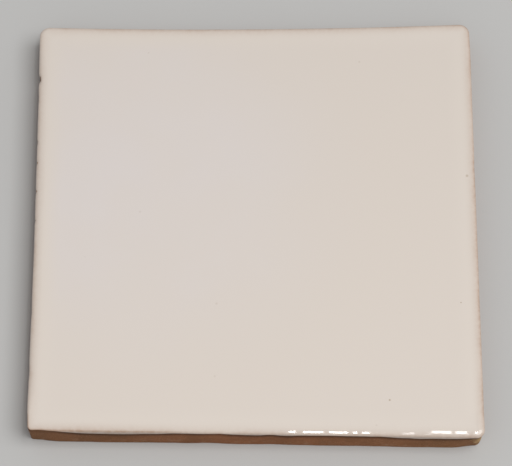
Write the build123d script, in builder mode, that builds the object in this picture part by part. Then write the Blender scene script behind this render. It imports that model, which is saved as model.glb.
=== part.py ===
from build123d import *
import math
import os

# Hand-cut square wall tile of brown earthenware, with a white glaze over its face.
# It is one fired piece: the glaze is melted onto the clay, rolls over the arris and stops in a wavy line
# on the four edges, where the bare clay stands back a little below it.
# Millimetres, +Z up. The bare back lies on Z = 0, the glazed face looks up, the front edge is at -Y.

# Plan of the hand-cut blank
tile_width = 105.0
tile_length = 105.0  # front to back along the middle
side_flare = 1.4  # the right side is longer than the middle by this much, and the left side shorter

# Corners, each rounded differently by hand
front_left_radius = 1.25
front_right_radius = 1.9
back_right_radius = 2.6
back_left_radius = 2.4

# How far the middle of each edge is drawn in from the straight line between its corners
front_bow = 0.06
right_bow = 0.04
back_bow = 0.87
left_bow = 0.28

# Section
thickness = 8.0  # at the middle of the face
face_crown = 0.20  # the face's fall from its middle to a corner
rim_radius = 0.50  # the glaze's roll over the arris
glaze_overhang = 0.20  # the bare clay edge stands back by this much below the glaze
back_edge_radius = 0.40  # worn arris round the back

# Glaze line: one wavy profile that lies aslant through the tile, so that it meets each edge differently.
# Each value is how far the glaze ran down below the roll, at even steps along the profile.
glaze_line_angle = 30.0
glaze_runs = (
    0.15, 0.40, 1.00, 0.25, 0.15, 0.40, 0.20, 0.15, 0.30, 0.90,
    0.20, 0.45, 0.20, 0.60, 0.25, 0.50, 0.15,
)


def edge_line(start, end, bow):
    """One edge of the plan, run anticlockwise and drawn in by its bow."""
    if bow:
        SagittaArc(start, end, bow)
    else:
        Line(start, end)


def plan(inset=0.0):
    """The tile's plan with rounded corners, set in by the inset all round."""
    half_width = tile_width / 2 - inset
    half_left = (tile_length - side_flare) / 2 - inset
    half_right = (tile_length + side_flare) / 2 - inset
    front_left = (-half_width, -half_left)
    front_right = (half_width, -half_right)
    back_right = (half_width, half_right)
    back_left = (-half_width, half_left)
    roundings = (
        (front_left, front_left_radius),
        (front_right, front_right_radius),
        (back_right, back_right_radius),
        (back_left, back_left_radius),
    )
    with BuildSketch() as sketch:
        with BuildLine():
            edge_line(front_left, front_right, front_bow)
            edge_line(front_right, back_right, right_bow)
            edge_line(back_right, back_left, back_bow)
            edge_line(back_left, front_left, left_bow)
        make_face()
        for corner, radius in roundings:
            fillet(sketch.vertices().sort_by_distance(corner)[0], radius - inset)
    return sketch.sketch


# Bare clay edge: all that lies below the glaze line and outside the clay's own plan
longest_side = max(tile_width, tile_length + abs(side_flare))
profile_reach = longest_side * math.sqrt(0.5)
profile_step = 2 * profile_reach / (len(glaze_runs) - 1)
profile_points = [(-profile_reach + i * profile_step, -run) for i, run in enumerate(glaze_runs)]
roll_foot = thickness - face_crown - rim_radius  # the roll's lowest place, at a corner
profile_direction = Vector(1, 0, 0).rotate(Axis.Z, glaze_line_angle)
profile_plane = Plane((0, 0, roll_foot), x_dir=profile_direction, z_dir=profile_direction.rotate(Axis.Z, -90))

with BuildPart() as bare_edge:
    with BuildSketch(profile_plane):
        with BuildLine():
            glaze_line = Spline(*profile_points)
            Polyline(
                glaze_line @ 0,
                (-profile_reach, -thickness),
                (profile_reach, -thickness),
                glaze_line @ 1,
            )
        make_face()
    extrude(amount=profile_reach, both=True)
    with BuildSketch():
        add(plan(inset=glaze_overhang))
    extrude(amount=thickness, both=True, mode=Mode.SUBTRACT)

# Tile: the plan at full thickness, crowned, rolled over at the arris and cut back below the glaze line
half_diagonal = math.hypot(tile_width, longest_side) / 2
crown_radius = (half_diagonal**2 + face_crown**2) / (2 * face_crown)

with BuildPart() as tile:
    with BuildSketch():
        add(plan())
    extrude(amount=thickness)
    with Locations((0, 0, thickness - crown_radius)):
        Sphere(crown_radius, rotation=(90, 0, 0), mode=Mode.INTERSECT)  # poles and seam lie off the face
    fillet(tile.faces().sort_by(Axis.Z)[-1].edges(), rim_radius)
    add(bare_edge.part, mode=Mode.SUBTRACT)
    fillet(tile.faces().sort_by(Axis.Z)[0].edges(), back_edge_radius)

tile.part.label = "tile"

os.makedirs("parts", exist_ok=True)
export_step(tile.part, "parts/tile.step")
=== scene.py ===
import math

import bmesh
import bpy
from mathutils import Matrix, Vector, noise


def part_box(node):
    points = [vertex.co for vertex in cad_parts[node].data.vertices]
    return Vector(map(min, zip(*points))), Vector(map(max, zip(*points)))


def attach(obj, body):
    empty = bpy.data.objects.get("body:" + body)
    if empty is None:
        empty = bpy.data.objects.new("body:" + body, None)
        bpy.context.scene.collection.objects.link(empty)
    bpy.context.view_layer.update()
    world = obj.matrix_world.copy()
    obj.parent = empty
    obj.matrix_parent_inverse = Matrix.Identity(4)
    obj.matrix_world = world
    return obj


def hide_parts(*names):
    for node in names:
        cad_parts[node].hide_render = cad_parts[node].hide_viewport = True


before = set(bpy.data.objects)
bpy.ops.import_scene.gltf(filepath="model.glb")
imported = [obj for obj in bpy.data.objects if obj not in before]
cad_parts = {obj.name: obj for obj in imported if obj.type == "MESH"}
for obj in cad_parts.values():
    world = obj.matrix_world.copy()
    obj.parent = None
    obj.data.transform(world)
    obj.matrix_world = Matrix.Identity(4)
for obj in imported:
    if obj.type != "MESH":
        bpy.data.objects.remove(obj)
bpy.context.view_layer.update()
tileLow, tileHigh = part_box("tile")
mm = 0.001
tileTop = round(tileHigh.z / mm, 1)
print("frame loaded, the tile is", tileTop, "mm thick")


# small helpers

def smoothStep(low, high, value):
    share = max(0.0, min(1.0, (value - low) / (high - low)))
    return share * share * (3 - 2 * share)


def mix(a, b, share):
    return a + (b - a) * share


def wander(x, y, z, size, seed):
    return noise.noise(Vector((x / size + seed * 7.31, y / size - seed * 3.17, z / size + seed * 1.73)))


def alongLine(pairs, x):
    # smooth curve through listed (x, value) pairs
    if x <= pairs[0][0]:
        return pairs[0][1]
    if x >= pairs[-1][0]:
        return pairs[-1][1]
    i = max(k for k in range(len(pairs) - 1) if pairs[k][0] <= x)
    x1, v1 = pairs[i]
    x2, v2 = pairs[i + 1]
    x0, v0 = pairs[max(i - 1, 0)]
    x3, v3 = pairs[min(i + 2, len(pairs) - 1)]
    span = x2 - x1
    m1 = (v2 - v0) / (x2 - x0) * span if x2 > x0 else 0.0
    m2 = (v3 - v1) / (x3 - x1) * span if x3 > x1 else 0.0
    t = (x - x1) / span
    t2 = t * t
    t3 = t2 * t
    return v1 * (2 * t3 - 3 * t2 + 1) + m1 * (t3 - 2 * t2 + t) + v2 * (3 * t2 - 2 * t3) + m2 * (t3 - t2)


# the tile: a grid for the glazed face, rings extruded down over the rim and the clay edge,
# and a grid for the back

tileShape = {
    # plan, mm
    "width": 105.0,
    "length": 105.0,
    "flare": 1.4,  # right side longer, left side shorter
    "cornerRadii": (1.25, 1.9, 2.6, 2.4),  # anticlockwise from the front left
    "bows": (0.06, 0.04, 0.87, 0.28),  # front, right, back, left
    "squares": (240, 150),  # across, and from front to back
    "crowding": 0.4,  # squares grow finer towards the right, where the rim has its smallest steps
    # face
    "crown": 0.2,
    "beadRise": 0.03,  # thicker glaze just inside the rim
    "beadFromEdge": 3.6,
    "beadWidth": 2.4,
    "swellRise": 0.045,
    "swellSize": 24.0,
    "swellFade": (0, 8),  # from the edge inwards
    "rippleRise": 0.010,
    "rippleSize": 6.5,
    "rippleFade": (1.5, 6),
    # roll of the glaze over the rim
    "rollWidth": 1.2,
    "rollVary": 0.15,
    "rollVarySize": 9.0,
    "leftRoll": 2.2,  # the left rim is rounded more softly, except near its corners
    "leftRollFrom": (47.0, 50.0),
    "leftRollEnds": (3.0, 14.0),
    "frontRollReach": (2.5, 12.0),
    "rollDepth": 0.62,
    "fullDepth": 0.8,  # where the roll is wide
    "wideRoll": (1.3, 2.0),
    "rimWave": 0.035,
    "rimWaveSize": 5.5,
    "rimWaveFade": 2.2,
    "frontRimReach": (2.5, 7.0),
    # lower edge of the glaze
    "glazeFall": 0.95,
    "leastFall": 0.5,
    "longWave": 0.55,
    "longWaveSize": 11.0,
    "shortWave": 0.14,
    "shortWaveSize": 3.0,
    "frontWave": 0.05,
    "frontWaveSize": 2.2,
    "frontLineReach": (1.0, 10.0),
    "leastLip": 0.004,
    "lipTuck": 0.012,
    "lipBulge": 0.02,
    "footRadius": 0.09,
    "footTuck": 0.16,
    # share of the clay's colour that shows through the glaze, partly painted shade on the left rim and the
    # lip
    "rimWarmth": 0.7,
    "warmReach": 3.4,
    "warmVary": 0.35,
    "warmVarySize": 7.0,
    "leftThinAndShade": 0.34,  # less along the left side, but wider: thin glaze and painted shade
    "leftReach": 3.4,
    "leftWarmFrom": (46.0, 49.0),
    "leftWarmEnd": (1.5, 5.0),
    "thickFront": (-24.0, -12.0),  # the front's glaze is thick to the right of here
    "thickReach": (2.0, 6.0),
    "thickCover": 0.35,
    "runThinAndShade": ((-49, -43), (-24, -14)),  # and thin between these, with painted shade on the run's lip
    "arrisThin": 0.08,
    "arrisAngle": (52, 16),  # degrees round the roll, and spread
    # the lip's tint: thin glaze over clay, and painted shade on its forward face
    "lipThinAndShade": 0.52,
    "footThin": 0.95,
    "shortThin": 0.9,  # where the glaze stops high on the roll
    "frontThin": 0.2,
    # chips
    "chipZone": 4,  # only this near the left side
    "chipTurn": (42, 70),  # degrees round the roll
    "chipDrop": 0.5,
    "bareChip": 0.18,  # a chip this deep is bare clay
    # clay edge and back
    "clayInset": 0.2,
    "clayWobble": 0.06,
    "sideFoot": 0.12,
    "sideFootVary": 0.10,
    "frontFootReach": (0.8, 5.0),
    "lipShadow": (0.7, 2.4),  # how far below the glaze its painted shadow fades
    "backArris": 0.16,
    "arrisVary": 0.4,
    "backRough": 0.06,
    "backLumpSize": 5.0,
    "backSwellSize": 21.0,
}

# how far below the face the glaze stops on the front edge, from left to right
frontGlazeLine = (
    (-51.6, 0.42), (-49.3, 0.43), (-47.0, 0.49), (-44.7, 0.70), (-42.4, 1.23), (-40.2, 1.62), (-37.9, 1.78),
    (-35.6, 1.88), (-33.3, 1.91), (-31.0, 1.93), (-28.7, 1.83), (-26.4, 1.61), (-24.2, 1.48), (-21.9, 1.31),
    (-19.6, 0.90), (-17.3, 0.75), (-15.0, 0.84), (-12.7, 0.94), (-10.4, 0.79), (-8.1, 0.68), (-5.9, 0.99),
    (-3.6, 1.21), (-1.3, 1.36), (1.0, 1.27), (3.3, 0.81), (5.6, 1.25), (7.9, 1.38), (10.2, 1.08),
    (12.4, 0.98), (14.7, 0.89), (17.0, 0.77), (19.3, 0.86), (21.6, 0.97), (23.9, 0.88), (26.2, 0.94),
    (28.5, 0.92), (30.7, 1.25), (33.0, 1.69), (35.3, 1.75), (37.6, 2.03), (39.9, 1.78), (42.2, 1.78),
    (44.5, 1.71), (46.7, 1.58), (49.0, 1.13), (51.5, 0.80),
)

# how far the clay's foot stands in from the outline along the front: both corners are worn back
frontFoot = (
    (-52.5, 0.60), (-50.5, 0.54), (-49.3, 0.48), (-48.2, 0.31), (-47.0, 0.19), (-45.5, 0.08), (-42.0, 0.05),
    (-38.0, 0.03), (-34.0, -0.02), (-28.0, 0.03), (-20.0, 0.04), (-15.0, 0.10), (-12.0, 0.19), (-9.3, 0.13),
    (-5.5, 0.00), (0.0, 0.06), (3.5, 0.16), (5.6, 0.13), (8.0, 0.04), (13.0, -0.02), (18.0, -0.01),
    (23.0, 0.04), (28.0, 0.01), (33.0, -0.04), (39.0, -0.05), (45.0, 0.00), (46.7, 0.12), (47.9, 0.29),
    (49.0, 0.45), (50.2, 0.62), (51.5, 0.64), (52.5, 0.55),
)

# width of the glaze's roll over the front edge
frontRollWidth = (
    (-52.0, 0.8), (-22.0, 0.8), (2.0, 1.2), (8.0, 1.4), (14.0, 1.45), (25.0, 1.45), (35.0, 1.5), (43.0, 1.6),
    (52.0, 1.55),
)

# slope of the front rim from left to right, in thousandths: its small steps break the highlight into dashes
frontRimSlope = (
    (-53.0, 0), (-46.0, 4), (-34.0, -4), (-22.0, 3), (-10.0, -2), (0.0, 1), (7.0, 2), (7.9, -13), (9.1, -10),
    (10.0, 22), (10.8, -8), (15.6, -2), (16.1, 30), (16.6, 1), (21.2, 6), (21.65, 40), (22.1, 8), (23.2, 10),
    (23.75, 40), (24.3, 12), (25.6, 14), (26.4, -4), (27.5, 0), (30.0, 3), (32.8, 7), (33.7, -2), (36.1, 2),
    (36.9, 14), (39.7, 12), (40.7, -4), (44.7, -3), (45.2, 40), (45.7, 0), (48.1, 2), (49.0, 34), (49.9, 32),
    (50.25, 2), (50.6, 4), (50.66, 60), (50.75, 100), (50.85, 60), (50.95, 0), (53.0, 0),
)

# chips along the left rim: place from front to back, half length, depth
leftRimChips = (
    (37.8, 0.90, 0.40), (20.9, 0.45, 0.15), (15.6, 0.40, 0.12), (8.1, 0.45, 0.14), (0.7, 0.40, 0.12),
    (-23.0, 0.40, 0.10),
)

# rings of the edge, from the face down: turns in degrees, falls as shares of a height
rollTurns = (6, 13, 21, 30, 40, 52, 68, 90)
lipFalls = (0.5, 1.0)
footTurns = (35, 65, 90)
wallFalls = (0.05, 0.12, 0.21, 0.33, 0.49, 0.66, 0.83, 1.0)
arrisTurns = (24, 48, 70, 90)


def makeSides():
    # the four edges, anticlockwise from the front, with the centres of their corner arcs
    halfWidth = tileShape["width"] / 2
    halfLeft = (tileShape["length"] - tileShape["flare"]) / 2
    halfRight = (tileShape["length"] + tileShape["flare"]) / 2
    corners = [
        Vector((-halfWidth, -halfLeft)),
        Vector((halfWidth, -halfRight)),
        Vector((halfWidth, halfRight)),
        Vector((-halfWidth, halfLeft)),
    ]
    runs = [(corners[(i + 1) % 4] - corners[i]).normalized() for i in range(4)]
    inward = [Vector((-run.y, run.x)) for run in runs]
    radii = tileShape["cornerRadii"]
    centres = []
    for i in range(4):
        both = inward[i - 1] + inward[i]
        centres.append(corners[i] + both * (radii[i] / (1 + inward[i - 1].dot(inward[i]))))
    sides = []
    for i in range(4):
        after = (i + 1) % 4
        sides.append({
            "from": centres[i],
            "to": centres[after],
            "fromRadius": radii[i],
            "toRadius": radii[after],
            "startOut": -(inward[i - 1] + inward[i]).normalized(),
            "out": -inward[i],
            "endOut": -(inward[i] + inward[after]).normalized(),
            "bow": tileShape["bows"][i],
        })
    return sides


tileSides = makeSides()


def turned(a, b, share):
    return (a * (1 - share) + b * share).normalized()


def edgePlace(side, share, inset):
    # a place on an edge, set in from the outline, and the way out of it
    edge = tileSides[side]
    startRadius, endRadius = edge["fromRadius"], edge["toRadius"]
    startFoot = edge["from"] + edge["out"] * startRadius
    endFoot = edge["to"] + edge["out"] * endRadius
    straight = (endFoot - startFoot).length
    startArc = startRadius * math.pi / 4
    endArc = endRadius * math.pi / 4
    along = share * (startArc + straight + endArc)
    if along < startArc:
        out = turned(edge["startOut"], edge["out"], along / startArc)
        return edge["from"] + out * (startRadius - inset), out
    if along > startArc + straight:
        out = turned(edge["out"], edge["endOut"], (along - startArc - straight) / endArc)
        return edge["to"] + out * (endRadius - inset), out
    q = (along - startArc) / straight
    place = startFoot.lerp(endFoot, q) - edge["out"] * (inset + edge["bow"] * 4 * q * (1 - q))
    return place, edge["out"]


def shareAcross(u):
    q = u / tileShape["squares"][0]
    return q * (1 + tileShape["crowding"]) - tileShape["crowding"] * q * q


def shareAlong(v):
    return v / tileShape["squares"][1]


def sideShare(u, v):
    # which edge a border point belongs to, and how far along it lies
    if v == 0:
        return 0, shareAcross(u)
    if u == tileShape["squares"][0]:
        return 1, shareAlong(v)
    if v == tileShape["squares"][1]:
        return 2, 1 - shareAcross(u)
    return 3, 1 - shareAlong(v)


def makeBorder(placeAt):
    across, along = tileShape["squares"]
    return {
        "front": [placeAt(u, 0) for u in range(across + 1)],
        "right": [placeAt(across, v) for v in range(along + 1)],
        "back": [placeAt(u, along) for u in range(across + 1)],
        "left": [placeAt(0, v) for v in range(along + 1)],
    }


def patchPlace(u, v, border):
    # fills the outline from its four edges
    front, back, left, right = border["front"], border["back"], border["left"], border["right"]
    s, t = shareAcross(u), shareAlong(v)
    flat = (front[0] * (1 - s) + front[-1] * s) * (1 - t) + (back[0] * (1 - s) + back[-1] * s) * t
    return front[u] * (1 - t) + back[u] * t + left[v] * (1 - s) + right[v] * s - flat


def frontGap(x, y):
    # distance from the front edge
    return y + tileShape["length"] / 2 + tileShape["flare"] / 2 * x / (tileShape["width"] / 2)


def edgeGap(x, y):
    # distance from the nearest edge
    halfWidth = tileShape["width"] / 2
    across = x / halfWidth
    backBow = tileShape["bows"][2] * (1 - across * across)
    backEdge = (tileShape["length"] + tileShape["flare"] * across) / 2 - backBow
    return min(halfWidth - abs(x), frontGap(x, y), backEdge - y)


def rollWidthAt(x, y):
    s = tileShape
    fromEnds = min(frontGap(x, y), s["length"] / 2 - y)
    onLeft = smoothStep(*s["leftRollFrom"], -x) * smoothStep(*s["leftRollEnds"], fromEnds)
    vary = 1 + s["rollVary"] * wander(x, y, 0, s["rollVarySize"], 3)
    other = mix(s["rollWidth"], s["leftRoll"], onLeft) * vary
    return mix(alongLine(frontRollWidth, x), other, smoothStep(*s["frontRollReach"], frontGap(x, y)))


def rimRiseAt(x):
    # height of the front rim, summed from its slopes
    height = 0.0
    for (x1, s1), (x2, s2) in zip(frontRimSlope, frontRimSlope[1:]):
        run = min(x, x2) - x1
        if run <= 0:
            break
        height += s1 * run + (s2 - s1) * run * run / (2 * (x2 - x1))
    return height / 1000


def rimBumpAt(x, y, fromEdge):
    s = tileShape
    fade = math.exp(-max(0.0, fromEdge - rollWidthAt(x, y)) / s["rimWaveFade"])
    if fade < 0.002:
        return 0.0
    own = s["rimWave"] * wander(x, y, 0, s["rimWaveSize"], 11)
    onFront = 1 - smoothStep(*s["frontRimReach"], frontGap(x, y))
    return mix(own, rimRiseAt(x), onFront) * fade


def faceHeight(x, y, fromEdge):
    s = tileShape
    halfDiagonal = math.hypot(s["width"], s["length"]) / 2
    height = tileTop - s["crown"] * (x * x + y * y) / halfDiagonal**2
    height += s["beadRise"] * math.exp(-((fromEdge - s["beadFromEdge"]) / s["beadWidth"]) ** 2)
    height += s["swellRise"] * wander(x, y, 0, s["swellSize"], 1) * smoothStep(*s["swellFade"], fromEdge)
    height += s["rippleRise"] * wander(x, y, 0, s["rippleSize"], 2) * smoothStep(*s["rippleFade"], fromEdge)
    return height + rimBumpAt(x, y, fromEdge)


def glazeFallAt(x, y):
    # depth of the glaze's lower edge below the face
    s = tileShape
    front = alongLine(frontGlazeLine, x) + s["frontWave"] * wander(x, y, 0, s["frontWaveSize"], 5)
    other = s["glazeFall"] + s["longWave"] * wander(x, y, 0, s["longWaveSize"], 6)
    other += s["shortWave"] * wander(x, y, 0, s["shortWaveSize"], 7)
    return mix(front, max(s["leastFall"], other), smoothStep(*s["frontLineReach"], frontGap(x, y)))


def rimWarmthAndShadeAt(x, y, inset):
    # warm clay seen through the glaze, which thins towards the edge, less so on the thick front right; along
    # the left rim, partly painted shade
    s = tileShape
    nearness = max(0.0, 1 - max(0.0, inset) / s["warmReach"])
    thick = smoothStep(*s["thickFront"], x) * (1 - smoothStep(*s["thickReach"], frontGap(x, y)))
    share = s["rimWarmth"] * (1 - s["thickCover"] * thick) * nearness**2.8
    # wider and weaker along the left rim: thin glaze, and painted shade where the rim turns away from the
    # light
    wide = s["leftThinAndShade"] * max(0.0, 1 - max(0.0, inset) / s["leftReach"]) ** 1.8
    onLeft = smoothStep(*s["leftWarmFrom"], -x) * smoothStep(*s["leftWarmEnd"], frontGap(x, y))
    return mix(share, wide, onLeft) * (1 + s["warmVary"] * wander(x, y, 0, s["warmVarySize"], 8))


def footInsetAt(x, y):
    other = tileShape["sideFoot"] + tileShape["sideFootVary"] * wander(x, y, 0, 8.0, 15)
    return mix(alongLine(frontFoot, x), other, smoothStep(*tileShape["frontFootReach"], frontGap(x, y)))


def chipAt(x, y):
    # depth of the chips on the left rim, and how bare they are
    depth = 0.0
    bare = 0.0
    if x < -tileShape["width"] / 2 + tileShape["chipZone"]:
        for place, halfLength, chipDepth in leftRimChips:
            near = math.exp(-((y - place) / halfLength) ** 2)
            depth = max(depth, chipDepth * near)
            bare = max(bare, near * min(1.0, chipDepth / tileShape["bareChip"]))
    return depth, bare


def makeColumn(side, share):
    # all that the rim's rings need at one place along the outline
    s = tileShape
    outline, out = edgePlace(side, share, 0.0)
    x, y = outline
    width = rollWidthAt(x, y)
    inner = edgePlace(side, share, width)[0]
    depth, bare = chipAt(x, y)
    faceZ = faceHeight(inner.x, inner.y, width)
    fall = glazeFallAt(x, y)
    stopZ = min(tileTop - fall, faceZ - 0.12)
    rollDepth = mix(s["rollDepth"], s["fullDepth"], smoothStep(*s["wideRoll"], width))
    footTop = stopZ + s["footRadius"]
    fullRoll = math.acos(max(0.0, 1 - (faceZ - footTop) / rollDepth))
    thinFrom, thinTo = s["runThinAndShade"]
    # the front run: thin glaze, partly painted shade on its lip
    runThinAndShade = smoothStep(*thinFrom, x) * (1 - smoothStep(*thinTo, x)) if side == 0 else 0.0
    arrisThin = s["arrisThin"] + 0.12 * wander(x, y, 0, 4.0, 10) + 0.35 * runThinAndShade
    return {
        "outline": outline,
        "out": out,
        "width": width,
        "faceZ": faceZ,
        "footTop": footTop,
        "rollDepth": rollDepth,
        "fullRoll": fullRoll,
        "shadow": mix(0.35, 1.0, smoothStep(0.35, 0.9, fall)),  # painted shadow under the lip, weaker where little glaze hangs over
        "arrisThin": max(0.0, arrisThin),
        "frontThin": s["frontThin"] * smoothStep(-20, 0, x) if side == 0 else 0.0,
        # thin glaze on the lip, with painted shade on its forward face
        "lipThinAndShade": s["lipThinAndShade"] + 0.3 * runThinAndShade + 0.12 * wander(x, y, 0, 5.0, 12),
        "chipDepth": depth,
        "bare": bare,
        "foot": footInsetAt(x, y),
        "arris": s["backArris"] * (1 + s["arrisVary"] * wander(x, y, 0, 6.0, 9)),
    }


def clayRough(x, y, height):
    return wander(x, y, height * 0.6, 3.4, 21) + wander(x, y, height * 0.3, 14.0, 22)


def rimRing(column, ring):
    # inset, height, thin glaze with painted shade, bare clay, height up the clay wall, painted shadow of the
    # glaze
    s = tileShape
    turn = column["fullRoll"]
    depth = column["rollDepth"]
    chipDepth = column["chipDepth"]

    def onRoll(angle):
        # inset and height at one angle of the roll, with the chip taken off, and the chip's share there
        chip = smoothStep(*s["chipTurn"], math.degrees(angle))
        inset = column["width"] * (1 - math.sin(angle)) + chipDepth * chip
        height = column["faceZ"] - depth * (1 - math.cos(angle)) - chipDepth * s["chipDrop"] * chip
        return inset, height, chip

    if ring < len(rollTurns):
        angle = math.radians(rollTurns[ring]) * turn / (math.pi / 2)
        inset, height, chip = onRoll(angle)
        degrees = math.degrees(angle)
        arrisTurn, arrisSpread = s["arrisAngle"]
        onArris = math.exp(-((degrees - arrisTurn) / arrisSpread) ** 2)
        short = 1 - turn / (math.pi / 2)  # the glaze stops high on the roll
        thinAndShade = column["arrisThin"] * onArris + rimWarmthAndShadeAt(*column["outline"], inset)
        atEnd = s["shortThin"] * short * smoothStep(0.2, 1.0, angle / turn)
        thinAndShade += atEnd + column["frontThin"] * smoothStep(50, 80, degrees)
        return inset, height, thinAndShade, column["bare"] * chip, 1.0, 1.0
    ring -= len(rollTurns)
    rollEnd = onRoll(turn)
    lipFall = max(s["leastLip"], rollEnd[1] - column["footTop"])
    lipEnd = (rollEnd[0] + min(s["lipTuck"], 0.3 * lipFall), rollEnd[1] - lipFall)
    if ring < len(lipFalls):
        share = lipFalls[ring]
        bulge = min(s["lipBulge"], 0.15 * lipFall) * math.sin(math.pi * share)
        inset = mix(rollEnd[0], lipEnd[0], share) - bulge
        height = mix(rollEnd[1], lipEnd[1], share)
        return inset, height, column["lipThinAndShade"], column["bare"] * (1 - 0.5 * share), 1.0, 1.0
    ring -= len(lipFalls)
    foot = s["footRadius"]
    if ring < len(footTurns):
        angle = math.radians(footTurns[ring])
        inset = lipEnd[0] + foot * (1 - math.cos(angle))
        thinAndShade = mix(column["lipThinAndShade"], s["footThin"], math.sin(angle))
        return inset, lipEnd[1] - foot * math.sin(angle), thinAndShade, 0.0, 1.0, 1.0
    ring -= len(footTurns)
    joint = (lipEnd[0] + s["footTuck"], lipEnd[1] - foot * 0.75)
    if ring == 0:
        return joint[0], joint[1], 1.0, 0.0, 1.0, column["shadow"]
    ring -= 1
    x, y = column["outline"]
    if ring < len(wallFalls):
        height = mix(joint[1], column["arris"], wallFalls[ring])
        below = joint[1] - height
        wall = mix(column["foot"], s["clayInset"], height / joint[1])
        wall += s["clayWobble"] * clayRough(x, y, height) * smoothStep(0.0, 1.2, below)
        inset = mix(joint[0], wall, smoothStep(0.0, 0.7, below))
        # painted shadow below the glaze, fading down the clay wall
        shadow = column["shadow"] * (1 - smoothStep(*s["lipShadow"], below))
        return inset, height, 1.0, 0.0, height / joint[1], shadow
    ring -= len(wallFalls)
    arris = column["arris"]
    angle = math.radians(arrisTurns[ring])
    inset = column["foot"] + s["clayWobble"] * clayRough(x, y, arris) + arris * (1 - math.cos(angle))
    return inset, arris * (1 - math.sin(angle)), 1.0, 0.0, 0.0, 0.0


glazeRings = len(rollTurns) + len(lipFalls) + len(footTurns) + 1
ringCount = glazeRings + len(wallFalls) + len(arrisTurns)


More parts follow.
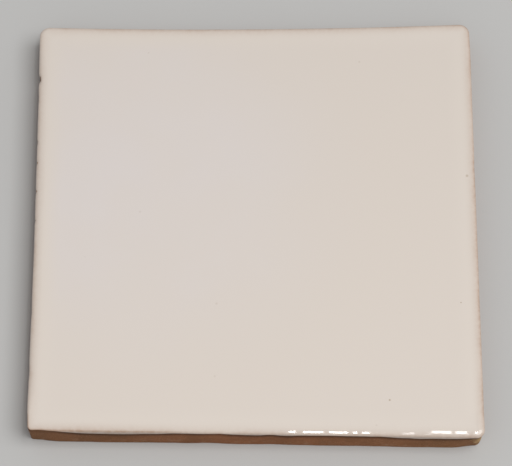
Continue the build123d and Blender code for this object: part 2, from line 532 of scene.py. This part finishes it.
def makeTile():
    across, along = tileShape["squares"]
    bm = bmesh.new()
    uIndex = bm.verts.layers.int.new("uIndex")
    vIndex = bm.verts.layers.int.new("vIndex")
    ringIndex = bm.verts.layers.int.new("ringIndex")
    thinAndShadeLayer = bm.verts.layers.float.new("thinGlazeAndShade")
    bareLayer = bm.verts.layers.float.new("bareClay")
    edgeLayer = bm.verts.layers.float.new("fromEdge")
    wallLayer = bm.verts.layers.float.new("upWall")
    # painted shadow under the glaze lip
    shadowLayer = bm.verts.layers.float.new("paintedLipShadow")

    # glazed face
    def facePlace(u, v):
        side, share = sideShare(u, v)
        outline = edgePlace(side, share, 0.0)[0]
        return edgePlace(side, share, rollWidthAt(outline.x, outline.y))[0]

    bmesh.ops.create_grid(bm, x_segments=across, y_segments=along, size=1.0)
    faceBorder = makeBorder(facePlace)
    for vert in bm.verts:
        u = round((vert.co.x + 1) / 2 * across)
        v = round((vert.co.y + 1) / 2 * along)
        vert[uIndex], vert[vIndex] = u, v
        place = patchPlace(u, v, faceBorder)
        fromEdge = edgeGap(place.x, place.y)
        vert.co = (place.x, place.y, faceHeight(place.x, place.y, fromEdge))
        vert[edgeLayer] = fromEdge
        vert[thinAndShadeLayer] = rimWarmthAndShadeAt(place.x, place.y, fromEdge)
        vert[wallLayer] = 1.0
        vert[shadowLayer] = 1.0
    print("face grid", len(bm.verts), "points")

    # rings down over the rim, the lip and the clay edge
    columns = {}
    ringEdges = [edge for edge in bm.edges if edge.is_boundary]
    for ring in range(ringCount):
        grown = bmesh.ops.extrude_edge_only(bm, edges=ringEdges)["geom"]
        newVerts = [part for part in grown if isinstance(part, bmesh.types.BMVert)]
        newEdges = [part for part in grown if isinstance(part, bmesh.types.BMEdge)]
        newFaces = [part for part in grown if isinstance(part, bmesh.types.BMFace)]
        fresh = set(newVerts)
        ringEdges = [edge for edge in newEdges if set(edge.verts) <= fresh]
        for vert in newVerts:
            key = (vert[uIndex], vert[vIndex])
            if key not in columns:
                columns[key] = makeColumn(*sideShare(*key))
            column = columns[key]
            inset, height, thinAndShade, bare, upWall, shadow = rimRing(column, ring)
            place = column["outline"] - column["out"] * inset
            vert.co = (place.x, place.y, height)
            vert[ringIndex] = ring + 1
            vert[thinAndShadeLayer], vert[bareLayer], vert[wallLayer], vert[shadowLayer] = thinAndShade, bare, upWall, shadow
            vert[edgeLayer] = max(0.0, inset)
        for face in newFaces:
            face.material_index = 0 if ring < glazeRings else 1
    rimVerts = {(vert[uIndex], vert[vIndex]): vert for vert in newVerts}
    print("rim and clay edge", ringCount, "rings")

    # bare back, joined to the last ring
    def backPlace(u, v):
        column = columns[(u, v)]
        return column["outline"] - column["out"] * rimRing(column, ringCount - 1)[0]

    front = set(bm.verts)
    bmesh.ops.create_grid(bm, x_segments=across, y_segments=along, size=1.0)
    backVerts = [vert for vert in bm.verts if vert not in front]
    backFaces = [face for face in bm.faces if face.verts[0] not in front]
    backBorder = makeBorder(backPlace)
    for vert in backVerts:
        u = round((vert.co.x + 1) / 2 * across)
        v = round((vert.co.y + 1) / 2 * along)
        vert[uIndex], vert[vIndex], vert[ringIndex] = u, v, ringCount + 1
        place = patchPlace(u, v, backBorder)
        rough = 0.6 + 0.4 * wander(place.x, place.y, 0, tileShape["backLumpSize"], 31)
        rough += 0.5 * wander(place.x, place.y, 0, tileShape["backSwellSize"], 32)
        inside = min(u, across - u, v, along - v) * 0.6
        vert.co = (place.x, place.y, tileShape["backRough"] * max(0.0, rough) * smoothStep(0.0, 2.5, inside))
        vert[thinAndShadeLayer] = 1.0
    bmesh.ops.reverse_faces(bm, faces=backFaces)
    for face in backFaces:
        face.material_index = 1
    seam = {vert: rimVerts[(vert[uIndex], vert[vIndex])] for vert in backVerts if vert.is_boundary}
    bmesh.ops.weld_verts(bm, targetmap=seam)

    # the same order of points, edges and faces in every run
    def pointOrder(vert):
        return (vert[ringIndex] * (along + 1) + vert[vIndex]) * (across + 1) + vert[uIndex]

    def partOrder(part):
        numbers = [vert.index for vert in part.verts]
        return min(numbers) * len(bm.verts) + max(numbers)

    bm.verts.sort(key=pointOrder)
    bm.verts.index_update()
    bm.edges.sort(key=partOrder)
    bm.faces.sort(key=partOrder)

    bmesh.ops.recalc_face_normals(bm, faces=bm.faces)
    bmesh.ops.scale(bm, vec=(mm, mm, mm), verts=bm.verts)
    for face in bm.faces:
        face.smooth = True
    openEdges = sum(1 for edge in bm.edges if not edge.is_manifold)
    for name in ("uIndex", "vIndex", "ringIndex"):
        bm.verts.layers.int.remove(bm.verts.layers.int[name])
    mesh = bpy.data.meshes.new("glazedTile")
    bm.to_mesh(mesh)
    bm.free()
    tile = bpy.data.objects.new("glazedTile", mesh)
    bpy.context.scene.collection.objects.link(tile)
    print("tile", sum(len(p.vertices) - 2 for p in mesh.polygons), "triangles, open edges", openEdges)
    return tile


# materials

def addNode(tree, kind, x, y, **values):
    node = tree.nodes.new(kind)
    node.location = (x, y)
    for name, value in values.items():
        setattr(node, name, value)
    return node


def setInputs(node, **values):
    for name, value in values.items():
        node.inputs[name.replace("_", " ")].default_value = value


def blendColour(tree, x, y, blend, factor, a, b):
    # a Mix node for colours, each input a link or a plain value
    node = addNode(tree, "ShaderNodeMix", x, y, data_type="RGBA", blend_type=blend)
    for index, value in ((0, factor), (6, a), (7, b)):
        if isinstance(value, bpy.types.NodeSocket):
            tree.links.new(value, node.inputs[index])
        else:
            node.inputs[index].default_value = value
    return node.outputs[2]


def spread(tree, x, y, value, fromLow, fromHigh, toLow, toHigh):
    node = addNode(tree, "ShaderNodeMapRange", x, y, interpolation_type="SMOOTHSTEP")
    tree.links.new(value, node.inputs["Value"])
    node.inputs["From Min"].default_value = fromLow
    node.inputs["From Max"].default_value = fromHigh
    node.inputs["To Min"].default_value = toLow
    node.inputs["To Max"].default_value = toHigh
    return node.outputs["Result"]


def noiseAt(tree, x, y, place, scale, detail=2.0, roughness=0.5):
    node = addNode(tree, "ShaderNodeTexNoise", x, y)
    setInputs(node, Scale=scale, Detail=detail, Roughness=roughness)
    tree.links.new(place, node.inputs["Vector"])
    return node.outputs["Fac"]


def mathNode(tree, x, y, operation, a, b):
    node = addNode(tree, "ShaderNodeMath", x, y, operation=operation)
    for index, value in ((0, a), (1, b)):
        if isinstance(value, bpy.types.NodeSocket):
            tree.links.new(value, node.inputs[index])
        else:
            node.inputs[index].default_value = value
    return node.outputs[0]


def placeInMm(tree, x, y):
    coords = addNode(tree, "ShaderNodeTexCoord", x, y)
    scaled = addNode(tree, "ShaderNodeMapping", x + 180, y)
    scaled.inputs["Scale"].default_value = (1 / mm, 1 / mm, 1 / mm)
    tree.links.new(coords.outputs["Object"], scaled.inputs["Vector"])
    return scaled.outputs["Vector"]


def meshValue(tree, x, y, name):
    return addNode(tree, "ShaderNodeAttribute", x, y, attribute_name=name).outputs["Fac"]


clayBody = {
    "fineScale": 4.2,
    "fineShade": (0.78, 1.18),
    "grainScale": 1.5,
    "sandColour": (0.42, 0.29, 0.19, 1.0),
}


def makeBakedClay():
    # mottled low-fired clay with sand grains, for the bare clay and the chips
    group = bpy.data.node_groups.new("bakedClay", "ShaderNodeTree")
    wanted = (
        ("Place", "Vector"), ("Deep", "Color"), ("Pale", "Color"), ("Patch", "Float"), ("Sand", "Float"),
    )
    for name, kind in wanted:
        group.interface.new_socket(name, in_out="INPUT", socket_type="NodeSocket" + kind)
    for name, kind in (("Colour", "Color"), ("Grain", "Float")):
        group.interface.new_socket(name, in_out="OUTPUT", socket_type="NodeSocket" + kind)
    given = addNode(group, "NodeGroupInput", -1200, 0)
    made = addNode(group, "NodeGroupOutput", 500, 0)
    place = given.outputs["Place"]

    patches = addNode(group, "ShaderNodeTexNoise", -900, 250)
    setInputs(patches, Detail=3.0, Roughness=0.6)
    group.links.new(place, patches.inputs["Vector"])
    group.links.new(given.outputs["Patch"], patches.inputs["Scale"])
    patchShare = spread(group, -700, 250, patches.outputs["Fac"], 0.34, 0.66, 0.0, 1.0)
    colour = blendColour(group, -500, 250, "MIX", patchShare, given.outputs["Deep"], given.outputs["Pale"])

    fine = noiseAt(group, -900, 0, place, clayBody["fineScale"], 3.0, 0.65)
    fineShade = spread(group, -700, 0, fine, 0.3, 0.7, *clayBody["fineShade"])
    tone = addNode(group, "ShaderNodeCombineColor", -500, 0)
    for index in range(3):
        group.links.new(fineShade, tone.inputs[index])
    colour = blendColour(group, -300, 200, "MULTIPLY", 1.0, colour, tone.outputs[0])

    grains = addNode(group, "ShaderNodeTexVoronoi", -900, -300)
    setInputs(grains, Scale=clayBody["grainScale"])
    group.links.new(place, grains.inputs["Vector"])
    core = spread(group, -700, -300, grains.outputs["Distance"], 0.12, 0.26, 1.0, 0.0)
    pick = addNode(group, "ShaderNodeSeparateColor", -700, -500)
    group.links.new(grains.outputs["Color"], pick.inputs[0])
    chosen = spread(group, -500, -500, pick.outputs[0], 0.62, 0.72, 0.0, 1.0)
    grainShare = mathNode(group, -300, -350, "MULTIPLY", core, chosen)
    grainShare = mathNode(group, -120, -350, "MULTIPLY", grainShare, given.outputs["Sand"])
    colour = blendColour(group, 100, 150, "MIX", grainShare, colour, clayBody["sandColour"])
    proud = mathNode(group, -60, -150, "MULTIPLY", grainShare, 0.5)
    height = mathNode(group, 100, -150, "ADD", fine, proud)
    group.links.new(colour, made.inputs["Colour"])
    group.links.new(height, made.inputs["Grain"])
    return group


def clayNode(tree, x, y, place, deep, pale, patch, sand):
    node = addNode(tree, "ShaderNodeGroup", x, y, node_tree=bakedClay)
    tree.links.new(place, node.inputs["Place"])
    setInputs(node, Deep=deep, Pale=pale, Patch=patch, Sand=sand)
    return node.outputs["Colour"], node.outputs["Grain"]


def newMaterial(name):
    material = bpy.data.materials.new(name)
    material.use_nodes = True
    tree = material.node_tree
    return material, tree, tree.nodes["Principled BSDF"]


glazeLook = {
    "white": (0.692, 0.623, 0.556, 1.0),
    "cool": (0.691, 0.635, 0.600, 1.0),  # clouded patch left of the middle
    "coolPlace": (-29.0, 12.0),
    "coolFade": (10.0, 62.0),
    "cloudScale": 0.05,
    "border": (0.703, 0.634, 0.565, 1.0),  # thicker glaze along the edges
    "borderFade": (2.0, 7.0),
    "paintedBackShade": (0.975, 0.973, 0.980, 1.0),  # painted shade, darker towards the back
    # painted light, lighter towards the front
    "paintedFrontLight": (1.015, 1.011, 1.017, 1.0),
    "tintReach": 45.0,
    "pinhole": (0.55, 0.47, 0.40, 1.0),
    "pinholeScale": 0.13,
    "pinholeDepth": 0.2,
    "thinAndShade": (0.45, 0.315, 0.235, 1.0),  # clay showing warm through the glaze on the arris, also painted shade on the left rim and the lip
    "streakScale": 0.9,
    "fleck": (0.30, 0.21, 0.10, 1.0),
    # X, Y, reach, depth
    "flecks": ((50.5, 12.35, 0.46, 0.35), (30.8, -44.2, 0.30, 0.6), (48.0, -20.1, 0.22, 0.6)),
    "chipDeep": (0.20, 0.10, 0.055, 1),
    "chipPale": (0.34, 0.20, 0.12, 1),
    "gloss": (0.03, 0.055),  # least and most roughness
    "chipRough": 0.6,
    "rippleScale": 0.42,
    "rippleHeight": 0.000004,
    "ior": 1.52,
}


def makeGlaze():
    material, tree, shader = newMaterial("whiteGlaze")
    place = placeInMm(tree, -2200, 0)

    # soft clouding over the face, cooler left of the middle
    cloud = noiseAt(tree, -1900, 700, place, glazeLook["cloudScale"], 2.0, 0.5)
    cloud = spread(tree, -1700, 700, cloud, 0.3, 0.7, 0.6, 1.0)
    reach = addNode(tree, "ShaderNodeVectorMath", -1900, 500, operation="DISTANCE")
    tree.links.new(place, reach.inputs[0])
    reach.inputs[1].default_value = (*glazeLook["coolPlace"], tileTop)
    near = spread(tree, -1700, 500, reach.outputs["Value"], *glazeLook["coolFade"], 1.0, 0.0)
    coolShare = mathNode(tree, -1500, 500, "MULTIPLY", near, cloud)
    colour = blendColour(tree, -1300, 500, "MIX", coolShare, glazeLook["white"], glazeLook["cool"])

    # whiter where the glaze gathered inside the rim
    edge = meshValue(tree, -1900, 250, "fromEdge")
    borderShare = spread(tree, -1500, 250, edge, *glazeLook["borderFade"], 1.0, 0.0)
    colour = blendColour(tree, -1100, 450, "MIX", borderShare, colour, glazeLook["border"])

    # painted light falloff: lighter towards the front, darker towards the back
    axes = addNode(tree, "ShaderNodeSeparateXYZ", -1900, 900)
    tree.links.new(place, axes.inputs[0])
    toBack = addNode(tree, "ShaderNodeMapRange", -1700, 900)
    tree.links.new(axes.outputs["Y"], toBack.inputs["Value"])
    setInputs(toBack, From_Min=-glazeLook["tintReach"], From_Max=glazeLook["tintReach"])
    backShare = toBack.outputs["Result"]
    paintedFalloff = blendColour(tree, -1500, 900, "MIX", backShare, glazeLook["paintedFrontLight"], glazeLook["paintedBackShade"])
    colour = blendColour(tree, -1000, 600, "MULTIPLY", 1.0, colour, paintedFalloff)

    # pinholes
    holes = addNode(tree, "ShaderNodeTexVoronoi", -1700, -50)
    setInputs(holes, Scale=glazeLook["pinholeScale"])
    tree.links.new(place, holes.inputs["Vector"])
    holeCore = spread(tree, -1500, -50, holes.outputs["Distance"], 0.015, 0.05, 1.0, 0.0)
    holeShare = mathNode(tree, -1300, -50, "MULTIPLY", holeCore, glazeLook["pinholeDepth"])
    colour = blendColour(tree, -900, 400, "MULTIPLY", holeShare, colour, glazeLook["pinhole"])

    # thin glaze on the arris and the lip, with the clay warm below it, and painted shade on the left rim and
    # the lip
    thinAndShade = meshValue(tree, -1900, 100, "thinGlazeAndShade")
    streak = noiseAt(tree, -1700, -350, place, glazeLook["streakScale"], 3.0, 0.6)
    streak = spread(tree, -1500, -350, streak, 0.25, 0.75, 0.8, 1.2)
    thinAndShadeShare = mathNode(tree, -1300, 150, "MULTIPLY", thinAndShade, streak)
    colour = blendColour(tree, -700, 400, "MIX", thinAndShadeShare, colour, glazeLook["thinAndShade"])

    # iron flecks
    for x, y, radius, depth in glazeLook["flecks"]:
        gap = addNode(tree, "ShaderNodeVectorMath", -1100, -200, operation="DISTANCE")
        tree.links.new(place, gap.inputs[0])
        gap.inputs[1].default_value = (x, y, tileTop - 0.1)
        mask = spread(tree, -900, -200, gap.outputs["Value"], radius * 0.4, radius, depth, 0.0)
        colour = blendColour(tree, -500, 350, "MIX", mask, colour, glazeLook["fleck"])

    # ragged chips down to the clay
    deep, pale = glazeLook["chipDeep"], glazeLook["chipPale"]
    clayColour = clayNode(tree, -900, -450, place, deep, pale, 0.6, 0.4)[0]
    broken = noiseAt(tree, -1500, -800, place, 2.4, 3.0, 0.6)
    broken = spread(tree, -1300, -800, broken, 0.3, 0.7, -0.24, 0.24)
    chipped = mathNode(tree, -1100, -650, "ADD", meshValue(tree, -1300, -650, "bareClay"), broken)
    bare = spread(tree, -900, -650, chipped, 0.36, 0.62, 0.0, 1.0)
    colour = blendColour(tree, -300, 350, "MIX", bare, colour, clayColour)
    tree.links.new(colour, shader.inputs["Base Color"])

    # gloss
    sheen = noiseAt(tree, -900, -900, place, 0.22, 3.0, 0.6)
    gloss = spread(tree, -700, -900, sheen, 0.3, 0.7, *glazeLook["gloss"])
    dull = mathNode(tree, -700, -1050, "MULTIPLY", bare, glazeLook["chipRough"])
    gloss = mathNode(tree, -500, -900, "ADD", gloss, dull)
    tree.links.new(gloss, shader.inputs["Roughness"])

    # slight ripple in the fired surface
    ripple = noiseAt(tree, -700, -1250, place, glazeLook["rippleScale"], 2.0, 0.5)
    sunk = mathNode(tree, -700, -1400, "MULTIPLY", holeCore, 2.0)
    height = mathNode(tree, -500, -1250, "SUBTRACT", ripple, sunk)
    bump = addNode(tree, "ShaderNodeBump", -250, -1100)
    setInputs(bump, Strength=1.0, Distance=glazeLook["rippleHeight"])
    tree.links.new(height, bump.inputs["Height"])
    tree.links.new(bump.outputs["Normal"], shader.inputs["Normal"])
    shader.inputs["IOR"].default_value = glazeLook["ior"]
    print("glaze made")
    return material


clayLook = {
    "deep": (0.262, 0.123, 0.055, 1.0),
    "pale": (0.326, 0.152, 0.073, 1.0),
    "patchScale": 0.16,
    "sand": 0.55,
    "tint": (0.84, 0.78, 0.70, 1.0),
    "tintReach": 52.0,
    # uneven firing along the front edge: duller to the left, redder in the middle
    "leftTint": (0.70, 0.67, 0.58, 1.0),
    "middleTint": (0.95, 0.80, 0.70, 1.0),
    "rightTint": (0.82, 0.80, 0.70, 1.0),
    "shadow": (0.38, 0.32, 0.25, 1.0),  # painted shadow: dark line just below the glaze
    "dust": (0.36, 0.21, 0.125, 1.0),
    "scuffScale": 0.55,
    "worn": (0.56, 0.37, 0.17, 1.0),  # pale front right corner: wear, and painted light from the right
    "wornPlace": (52.0, -52.2, 2.2),
    "wornReach": 2.4,
    "pitScale": 1.1,
    "grainHeight": 0.00009,
    "ior": 1.4,
}


def makeClay():
    material, tree, shader = newMaterial("bareClay")
    place = placeInMm(tree, -2000, 0)
    deep, pale = clayLook["deep"], clayLook["pale"]
    colour, grain = clayNode(tree, -1400, 200, place, deep, pale, clayLook["patchScale"], clayLook["sand"])

    # unevenly fired along the front edge
    axes = addNode(tree, "ShaderNodeSeparateXYZ", -1600, -100)
    tree.links.new(place, axes.inputs[0])
    across = addNode(tree, "ShaderNodeMapRange", -1400, -100)
    tree.links.new(axes.outputs["X"], across.inputs["Value"])
    reach = clayLook["tintReach"]
    setInputs(across, From_Min=-reach, From_Max=reach)
    ramp = addNode(tree, "ShaderNodeValToRGB", -1200, -100)
    tree.links.new(across.outputs["Result"], ramp.inputs["Fac"])
    stops = ramp.color_ramp.elements
    stops[0].color = clayLook["leftTint"]
    stops[1].color = clayLook["rightTint"]
    stops.new(0.5).color = clayLook["middleTint"]
    onFront = spread(tree, -1400, -300, axes.outputs["Y"], -50.0, -40.0, 1.0, 0.0)
    tint = blendColour(tree, -1000, -100, "MIX", onFront, clayLook["tint"], ramp.outputs["Color"])
    colour = blendColour(tree, -800, 200, "MULTIPLY", 1.0, colour, tint)

    # dust and scuffs low on the edge
    up = meshValue(tree, -1600, -500, "upWall")
    scuff = noiseAt(tree, -1400, -700, place, clayLook["scuffScale"], 4.0, 0.65)
    scuff = spread(tree, -1200, -700, scuff, 0.48, 0.68, 0.0, 0.5)
    low = spread(tree, -1400, -500, up, 0.05, 0.55, 1.0, 0.0)
    dust = mathNode(tree, -1000, -500, "MULTIPLY", low, scuff)
    colour = blendColour(tree, -600, 200, "MIX", dust, colour, clayLook["dust"])

    # worn corner with painted light from the right, ragged and longer than it is wide
    flatter = addNode(tree, "ShaderNodeVectorMath", -1600, -1300, operation="MULTIPLY")
    tree.links.new(place, flatter.inputs[0])
    flatter.inputs[1].default_value = (1.0, 1.0, 0.55)
    gap = addNode(tree, "ShaderNodeVectorMath", -1400, -1300, operation="DISTANCE")
    tree.links.new(flatter.outputs["Vector"], gap.inputs[0])
    gap.inputs[1].default_value = clayLook["wornPlace"]
    ragged = noiseAt(tree, -1600, -1500, place, 0.8, 4.0, 0.7)
    ragged = spread(tree, -1400, -1500, ragged, 0.3, 0.7, -0.9, 0.9)
    gap = mathNode(tree, -1200, -1300, "ADD", gap.outputs["Value"], ragged)
    worn = spread(tree, -1000, -1300, gap, clayLook["wornReach"] * 0.3, clayLook["wornReach"], 0.75, 0.0)
    colour = blendColour(tree, -500, 50, "MIX", worn, colour, clayLook["worn"])

    # painted shadow: dark line where the glaze overhangs
    paintedShadowShare = meshValue(tree, -1200, -900, "paintedLipShadow")
    colour = blendColour(tree, -400, 200, "MULTIPLY", paintedShadowShare, colour, clayLook["shadow"])
    tree.links.new(colour, shader.inputs["Base Color"])

    tree.links.new(spread(tree, -600, -200, grain, 0.2, 0.9, 0.95, 0.78), shader.inputs["Roughness"])
    pits = noiseAt(tree, -800, -1100, place, clayLook["pitScale"], 4.0, 0.6)
    height = mathNode(tree, -600, -1000, "ADD", grain, pits)
    bump = addNode(tree, "ShaderNodeBump", -300, -900)
    setInputs(bump, Strength=0.8, Distance=clayLook["grainHeight"])
    tree.links.new(height, bump.inputs["Height"])
    tree.links.new(bump.outputs["Normal"], shader.inputs["Normal"])
    shader.inputs["IOR"].default_value = clayLook["ior"]
    print("clay made")
    return material


bakedClay = makeBakedClay()
glazedTile = makeTile()
glazedTile.data.materials.append(makeGlaze())
glazedTile.data.materials.append(makeClay())
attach(glazedTile, "root")
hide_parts("tile")


# floor, light and camera

studio = {
    "floorSize": 6.0,
    "floorColour": (0.50, 0.495, 0.485, 1.0),
    "floorRough": 0.9,
    "floorGap": 0.00002,
    "skyStrength": 0.43,
    # name, place, aim, width, length, watts
    "lamps": (
        ("tubeLampA", (0.0511, -0.325, 0.800), (0.0511, -0.325, 0.0), 0.024, 0.45, 0.68),
        ("tubeLampB", (0.096, -0.325, 0.800), (0.096, -0.325, 0.0), 0.008, 0.45, 0.093),
        ("tubeLampC", (0.124, -0.060, 0.800), (0.124, -0.060, 0.0), 0.032, 0.32, 0.42),
        ("keyLamp", (1.125, -0.225, 2.25), (0.0, 0.0, 0.0), 1.56, 1.56, 34.1),
    ),
}


def makeFloor():
    bm = bmesh.new()
    bmesh.ops.create_grid(bm, x_segments=1, y_segments=1, size=studio["floorSize"] / 2)
    bmesh.ops.translate(bm, vec=(0, 0, tileLow.z - studio["floorGap"]), verts=bm.verts)
    mesh = bpy.data.meshes.new("floor")
    bm.to_mesh(mesh)
    bm.free()
    floor = bpy.data.objects.new("floor", mesh)
    bpy.context.scene.collection.objects.link(floor)
    material, _, shader = newMaterial("paleFloor")
    shader.inputs["Base Color"].default_value = studio["floorColour"]
    shader.inputs["Roughness"].default_value = studio["floorRough"]
    mesh.materials.append(material)


def makeLight():
    world = bpy.data.worlds.new("studio")
    world.use_nodes = True
    sky = world.node_tree.nodes["Background"]
    sky.inputs["Color"].default_value = (1.0, 1.0, 1.0, 1.0)
    sky.inputs["Strength"].default_value = studio["skyStrength"]
    bpy.context.scene.world = world
    for name, place, aim, width, length, watts in studio["lamps"]:
        lamp = bpy.data.lights.new(name, "AREA")
        lamp.shape = "RECTANGLE"
        lamp.size = width
        lamp.size_y = length
        lamp.energy = watts
        holder = bpy.data.objects.new(name, lamp)
        holder.location = place
        holder.rotation_euler = (Vector(aim) - Vector(place)).to_track_quat("-Z", "Y").to_euler()
        holder.visible_camera = False
        bpy.context.scene.collection.objects.link(holder)


cameraSetting = {
    "lens": 180.725,
    "sensorWidth": 36.0,
    "elevation": 67.1211,
    "azimuth": -1.837,
    "roll": 1.8836,
    "distance": 0.6151265,
    "slide": (0.0002259, 0.0006397),
}


def makeCamera():
    elevation = math.radians(cameraSetting["elevation"])
    azimuth = math.radians(cameraSetting["azimuth"])
    roll = math.radians(cameraSetting["roll"])
    level = math.cos(elevation)
    back = Vector((math.sin(azimuth) * level, -math.cos(azimuth) * level, math.sin(elevation)))
    right = Vector((math.cos(azimuth), math.sin(azimuth), 0.0))
    up = back.cross(right)
    across = right * math.cos(roll) + up * math.sin(roll)
    upward = up * math.cos(roll) - right * math.sin(roll)
    slideAcross, slideUp = cameraSetting["slide"]
    centre = back * cameraSetting["distance"] + across * slideAcross + upward * slideUp
    data = bpy.data.cameras.new("photoCamera")
    data.sensor_fit = "HORIZONTAL"
    data.sensor_width = cameraSetting["sensorWidth"]
    data.lens = cameraSetting["lens"]
    data.clip_start = 0.01
    data.clip_end = 20.0
    camera = bpy.data.objects.new("photoCamera", data)
    turn = Matrix((across, upward, back)).transposed()
    camera.matrix_world = Matrix.Translation(centre) @ turn.to_4x4()
    bpy.context.scene.collection.objects.link(camera)
    bpy.context.scene.camera = camera


makeFloor()
makeLight()
makeCamera()
bpy.context.scene.view_settings.view_transform = "Standard"
print("floor, light and camera made")
